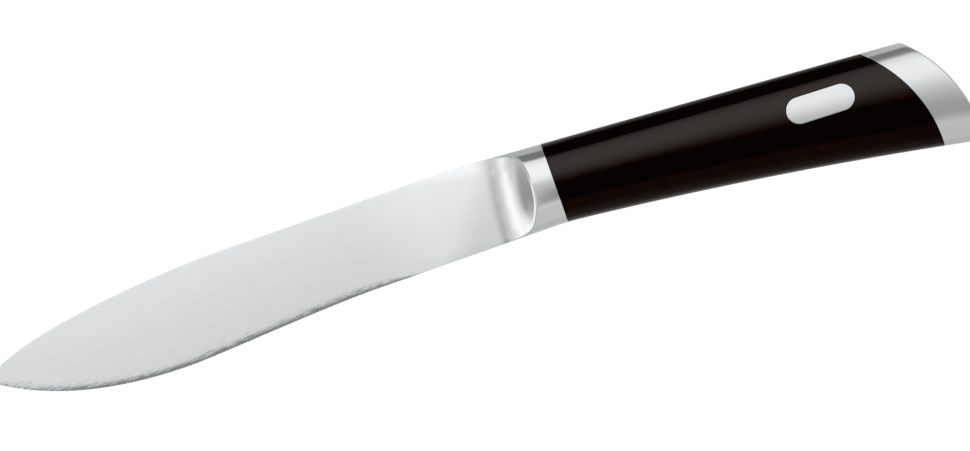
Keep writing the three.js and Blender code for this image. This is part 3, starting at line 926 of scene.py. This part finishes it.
def make_sleeve(material):
    """Grip: skin from the bolster's joint to the curved joint, with a window round the inlay that is filled
    by rings from its edge to the inlay's outline, the pocket's wall and floor, and the slot inside."""
    front = np.full(HALF_COLS, JOINT_GAP)
    rear = arc_section(0.0)
    share = np.linspace(0, 1, SLEEVE_ROWS)[:, None]
    x = mix(front + EDGE_BREAK, rear[:, 0] - EDGE_BREAK, share)
    skin = np.stack([section(row) for row in x])
    height = TANG_HEIGHT + 2 * BEDDING_WALL
    thickness = TANG_THICKNESS + 2 * BEDDING_WALL
    lip = section(front, EDGE_BREAK)
    slot_front = slot_section(front, height, thickness)
    slot_rear = slot_on_arc(0.0, height, thickness)
    inside = np.stack([skin[-1], arc_section(0.0, EDGE_BREAK), slot_rear, slot_front, lip, skin[0]])

    mid_row = skin[:, HALF_COLS // 2, 0]
    top, bottom = (
        int(np.abs(mid_row - INLAY_X - d).argmin()) for d in (-WINDOW_HALF_LENGTH, WINDOW_HALF_LENGTH))
    heights = skin[(top + bottom) // 2, :, 1]
    left, right = (
        int(np.abs(heights - INLAY_Y - d).argmin()) for d in (WINDOW_HALF_HEIGHT, -WINDOW_HALF_HEIGHT))
    ring = block_edge(skin, top, bottom, left, right)
    rings = [ring]
    lip_x, lip_y = pill_near(ring[:, 0], ring[:, 1], INLAY_WIDTH / 2 + POCKET_LIP)
    for step in (1 - np.cos(np.linspace(0, np.pi / 2, WINDOW_RINGS + 1)))[::-1][1:]:
        px, py = mix(lip_x, ring[:, 0], step), mix(lip_y, ring[:, 1], step)
        rings.append(np.stack([px, py, handle_side(px, py)], -1))
    wall_x, wall_y = pill_near(ring[:, 0], ring[:, 1], INLAY_WIDTH / 2)
    rings.append(np.stack([wall_x, wall_y, handle_side(wall_x, wall_y) - POCKET_LIP], -1))
    for radius in (INLAY_WIDTH / 2, INLAY_WIDTH / 4):
        px, py = pill_near(ring[:, 0], ring[:, 1], radius)
        rings.append(np.stack([px, py, np.full_like(px, POCKET_FLOOR)], -1))
    rings.append(np.broadcast_to([INLAY_X, INLAY_Y, POCKET_FLOOR], ring.shape))
    around = [skin[:top + 1], skin[bottom:], skin[top:bottom + 1, :left + 1], skin[top:bottom + 1, right:]]
    sheets = around + [np.stack(rings), inside]
    make_piece("black_grip", mirrored(sheets), material, "grip_sleeve", HANDLE_CREASE)


def make_cap(material):
    """Butt: skin between two arcs, a rounded rear rim, a curved end drawn in to its middle, and the tongue
    inside the grip."""
    tongue = on_tang_line(TONGUE_END, *half_rectangle(HALF_COLS, TANG_HEIGHT, TANG_THICKNESS))
    stop = np.broadcast_to(tongue.mean(0) * np.array([1, 1, 0]), tongue.shape)
    rows = [stop, tongue, slot_on_arc(JOINT_GAP, TANG_HEIGHT, TANG_THICKNESS)]
    rows.append(arc_section(JOINT_GAP, EDGE_BREAK))
    for shift in np.linspace(JOINT_GAP + EDGE_BREAK, CAP_LENGTH - CAP_RIM, CAP_ROWS):
        rows.append(arc_section(shift))
    for turn in np.linspace(0, np.pi / 2, CAP_RIM_ROWS + 1)[1:]:
        rows.append(arc_section(CAP_LENGTH - CAP_RIM * (1 - math.sin(turn)), CAP_RIM * (1 - math.cos(turn))))
    rim = rows[-1]
    middle = (rim[0, 1] + rim[-1, 1]) / 2
    for share in np.linspace(1, 0, CAP_END_ROWS + 1)[1:]:
        y = middle + (rim[:, 1] - middle) * share
        rows.append(np.stack([butt_arc(y, CAP_LENGTH), y, rim[:, 2] * share], -1))
    make_piece("butt_end", mirrored([np.stack(rows)]), material, "butt_cap", HANDLE_CREASE)


# Inlays

def make_inlay(name, node, side, material):
    """Flush plate: rings of the rounded outline grow from the middle line over the handle's oval, round
    the rim, go down the wall and close on the flat back."""
    ends = np.linspace(-np.pi / 2, np.pi / 2, INLAY_END_COLS)
    run = np.linspace(INLAY_STRAIGHT, -INLAY_STRAIGHT, INLAY_SIDE_COLS)
    level = np.full(len(run), np.pi / 2)
    pivot = np.full(len(ends), INLAY_STRAIGHT)
    core = np.concatenate([pivot, run, -pivot, run[::-1]])
    angle = np.concatenate([ends, level, ends + np.pi, level + np.pi])
    core, angle = np.append(core, core[0]), np.append(angle, angle[0])
    c, s = math.cos(INLAY_TILT), math.sin(INLAY_TILT)

    def ring(radius, sink=None):
        along, across = core + radius * np.cos(angle), radius * np.sin(angle)
        x, y = INLAY_X + along * c - across * s, INLAY_Y + along * s + across * c
        z = np.full_like(x, POCKET_FLOOR + FIT_GAP) if sink is None else handle_side(x, y) - sink
        return np.stack([x, y, z], -1)

    full = INLAY_WIDTH / 2 - FIT_GAP
    rows = [ring(radius, 0.0) for radius in np.linspace(0, full - INLAY_RIM, INLAY_ROWS)]
    for turn in np.linspace(0, np.pi / 2, INLAY_RIM_ROWS + 1)[1:]:
        rows.append(ring(full - INLAY_RIM * (1 - math.sin(turn)), INLAY_RIM * (1 - math.cos(turn))))
    rows += [ring(full), ring(full / 2), ring(0.0)]
    plate = np.stack(rows) * np.array([1, 1, side])
    make_piece(name, [plate], material, node, INLAY_CREASE)


def carry_over(node, material):
    """A CAD node that stays as it is, with a finish of its own."""
    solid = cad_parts[node]
    for place in solid.material_slots:
        place.material = material


make_blade(blade_paint())
make_sleeve(resin_paint("grip_finish", GRIP_TONE, GRIP_ROUGHNESS, GRIP_SPECULAR, GRIP_GLOSS))
make_cap(steel_paint("cap_finish", CAP_TONE, CAP_ROUGHNESS))
inlay_finish = steel_paint("inlay_finish", INLAY_TONE, INLAY_ROUGHNESS)
make_inlay("left_inlay", "inlay_left", 1, inlay_finish)
make_inlay("right_inlay", "inlay_right", -1, inlay_finish)
rivet_finish = steel_paint("rivet_finish", RIVET_TONE, RIVET_ROUGHNESS)
for node in ("tang_rivet_barrel", "tang_rivet_pin", "cap_rivet_barrel", "cap_rivet_pin"):
    carry_over(node, rivet_finish)
carry_over("tang_bedding", resin_paint(
    "bedding_finish", BEDDING_TONE, BEDDING_ROUGHNESS, BEDDING_SPECULAR, GRIP_GLOSS))


# Floor, light and camera

PHOTO_CENTRE = np.array([-19.45, -4.43, 0.0])   # knife point in the middle of the picture
PHOTO_WIDTH = 237.26                            # millimetres across the picture at the knife's middle
CAMERA_RISE = 4.0                               # metres above the knife's middle
CAMERA_TURN = math.radians(-19.4)
SENSOR = 36.0
NEAR_CLIP, FAR_CLIP = 0.01, 20.0
FLOOR_HALF = 3.0                                # metres from the middle of the floor to its sides
FLOOR_COLS = 5
FLOOR_DROP = 0.0002                             # metres under the knife
FLOOR_BLEND = 0.02                              # metres beside its middle where the two glows blend
FLOOR_SEEN = 1.04                               # how bright the white table is in the picture
EDGE_SHADOWED_GLOW = 0.86                                # how bright it mirrors in the underside, dimmed by a painted shadow of the knife
SPINE_SHADOWED_GLOW = (                                  # and in the spine's side, by millimetres from the joint, with the same painted shadow
    (-20, 0.95), (-8, 0.79), (0, 0.77), (10, 0.68), (80, 0.66), (92, 0.95))
BLACK_POINT = (0.062, 0.0575, 0.0562)           # the picture's darkest tones fall to black
BLACK_TINT = (0.0024, 0.0009, 0.0009)           # and that black is faintly warm

# The dome's light. Ramps are (degrees of lean, level), and pairs are degrees where a change starts and ends
BACKDROP = 0.92                                 # what the camera sees past the floor
SIDE_SKY = 0.8                                  # light from between the arches
ACROSS_ARCH = (                                 # by the lean toward the spine
    (-90, 0.96), (-45, 0.98), (-36, 1.05), (-33, 1.03), (-29, 0.74), (-24, 0.53), (-17, 0.57),
    (-12, 0.62), (-7, 0.77), (-2, 0.88), (2, 1.02), (7, 1.27), (11.5, 1.5), (17, 1.59), (23, 1.62),
    (36, 1.62), (44, 1.5), (54, 1.34), (57, 1.0), (60, 0.4), (88, 0.38), (90, 0.45))
ACROSS_EDGE = (16.0, 34.0)                      # beside the arch, on either hand
TIP_ARCH = (                                    # by the lean toward the butt
    (-90, 1.3), (-88, 0.9), (-86.8, 0.56), (-83.5, 0.58), (-75.8, 0.74), (-69.3, 0.94), (-62.8, 1.18),
    (-56.3, 1.41), (-49.9, 1.61), (-44.6, 1.74), (-38.2, 1.75), (-32.8, 1.62), (-26.5, 1.38),
    (-21.2, 1.19), (-15.9, 1.06), (-10.6, 1.0), (90, 1.0))
TIP_EDGE = (18.0, 36.0)
TIP_NEAR = (0.5, 11.6)                          # where the brighter of the two arches takes over
TIP_FAR = (9.5, 19.0)                           # and then the tip's own
LOW_TIP = (42.4, 58.5)                          # low by the tip the half arch stays bright
LOW_LEVEL = 1.74
GAP_START = (-9.5, 0.0)                         # except in a gap from the edge's side to the spine's
GAP_END = (11.0, 19.0)
GAP_RETURN = 0.6                                # how much of the light is back past the gap
SPINE_HAND = (9.5, 20.0)                        # on the spine's side the half arch is dimmer
SPINE_HAND_LOSS = 0.38
MID_TIP = ((30.0, 42.0), (50.0, 66.0))          # and dimmer again in a band at mid height
MID_HAND = (4.0, 9.0)
MID_LOSS = 0.28


def make_floor():
    """Plain white lit table: one square grid under the knife. The camera sees it evenly white; in
    reflections it glows dimmer by the knife, a painted shadow.
    """
    lines = np.linspace(-FLOOR_HALF, FLOOR_HALF, FLOOR_COLS)
    u, v = np.meshgrid(lines, lines, indexing="ij")
    points = np.stack([u, v, np.full_like(u, -FLOOR_DROP)], -1).reshape(-1, 3)
    mesh = bpy.data.meshes.new("floor")
    mesh.from_pydata(points.tolist(), [], sheet_faces(FLOOR_COLS, FLOOR_COLS, 0)[:, ::-1].tolist())
    material, wire = new_material("floor_white")
    seen = wire.node("ShaderNodeLightPath", out="Is Camera Ray")
    spot = wire.node("ShaderNodeTexCoord", out="Object")
    # The glow seen in reflections is dimmer near the knife: a painted shadow of the knife on the table
    above = ((spot.axis(0) - JOINT[0]) * (1 / MM)).ramp(SPINE_SHADOWED_GLOW)
    tone = mix(EDGE_SHADOWED_GLOW, above, spot.axis(1).between(-FLOOR_BLEND, FLOOR_BLEND))
    glow = wire.node("ShaderNodeEmission", None, {"Color": mix(tone, FLOOR_SEEN, seen)})
    wire.node("ShaderNodeOutputMaterial", inputs={"Surface": glow})
    mesh.materials.append(material)
    floor = bpy.data.objects.new("floor", mesh)
    bpy.context.scene.collection.objects.link(floor)


def make_light():
    """Soft studio dome. One broad arch stands over the knife from side to side and half an arch leans over
    the tip. Along each, brightness follows the lean from straight up in degrees, and beside them the dome
    is even. The half arch has a dim gap low down and is dimmer on the spine's side. The camera itself sees
    a plain pale backdrop."""
    world = bpy.data.worlds.new("studio")
    world.use_nodes = True
    world.node_tree.nodes.clear()
    wire = Wire(world.node_tree)
    way = wire.node("ShaderNodeTexCoord", out="Generated")
    to_butt, to_spine = (way.axis(k).math("ARCSINE") * (180 / math.pi) for k in range(2))
    to_tip = -1 * to_butt

    tip_side = to_butt.ramp(TIP_ARCH)
    gap = to_spine.between(*GAP_START) * (1 - to_spine.between(*GAP_END) * GAP_RETURN)
    tip_side = mix(tip_side, LOW_LEVEL, to_tip.between(*LOW_TIP) * (1 - gap))
    tip_side = tip_side * (1 - to_spine.between(*SPINE_HAND) * SPINE_HAND_LOSS)
    mid_tip = to_tip.between(*MID_TIP[0]) - to_tip.between(*MID_TIP[1])
    tip_side = tip_side * (1 - to_spine.between(*MID_HAND) * mid_tip * MID_LOSS)
    tip_side = mix(SIDE_SKY, tip_side, 1 - to_spine.math("ABSOLUTE").between(*TIP_EDGE))
    across = to_spine.ramp(ACROSS_ARCH)
    across = mix(SIDE_SKY, across, 1 - to_butt.math("ABSOLUTE").between(*ACROSS_EDGE))
    near = mix(across, across.math("MAXIMUM", tip_side), to_tip.between(*TIP_NEAR))
    dome = mix(near, tip_side, to_tip.between(*TIP_FAR))
    seen = wire.node("ShaderNodeLightPath", out="Is Camera Ray")
    strength = mix(dome, BACKDROP, seen)
    light = wire.node("ShaderNodeBackground", None, {"Color": (1, 1, 1, 1), "Strength": strength})
    wire.node("ShaderNodeOutputWorld", inputs={"Surface": light})
    bpy.context.scene.world = world


def make_camera():
    """Square from above, turned so that the blade points down to the left."""
    lens = bpy.data.cameras.new("camera")
    lens.sensor_width = SENSOR
    lens.lens = SENSOR * CAMERA_RISE / (PHOTO_WIDTH * MM)
    lens.clip_start, lens.clip_end = NEAR_CLIP, FAR_CLIP
    camera = bpy.data.objects.new("camera", lens)
    place = Vector(settle(PHOTO_CENTRE)) + Vector((0, 0, CAMERA_RISE))
    camera.matrix_world = Matrix.Translation(place) @ Matrix.Rotation(CAMERA_TURN, 4, "Z")
    bpy.context.scene.collection.objects.link(camera)
    bpy.context.scene.camera = camera


make_floor()
make_light()
make_camera()
picture = bpy.context.scene.view_settings
picture.view_transform = "Standard"
picture.use_curve_mapping = True
picture.curve_mapping.extend = "HORIZONTAL"
picture.curve_mapping.black_level = BLACK_POINT
for curve, tint in zip(picture.curve_mapping.curves, BLACK_TINT):
    curve.points[0].location = (0, tint)
picture.curve_mapping.update()
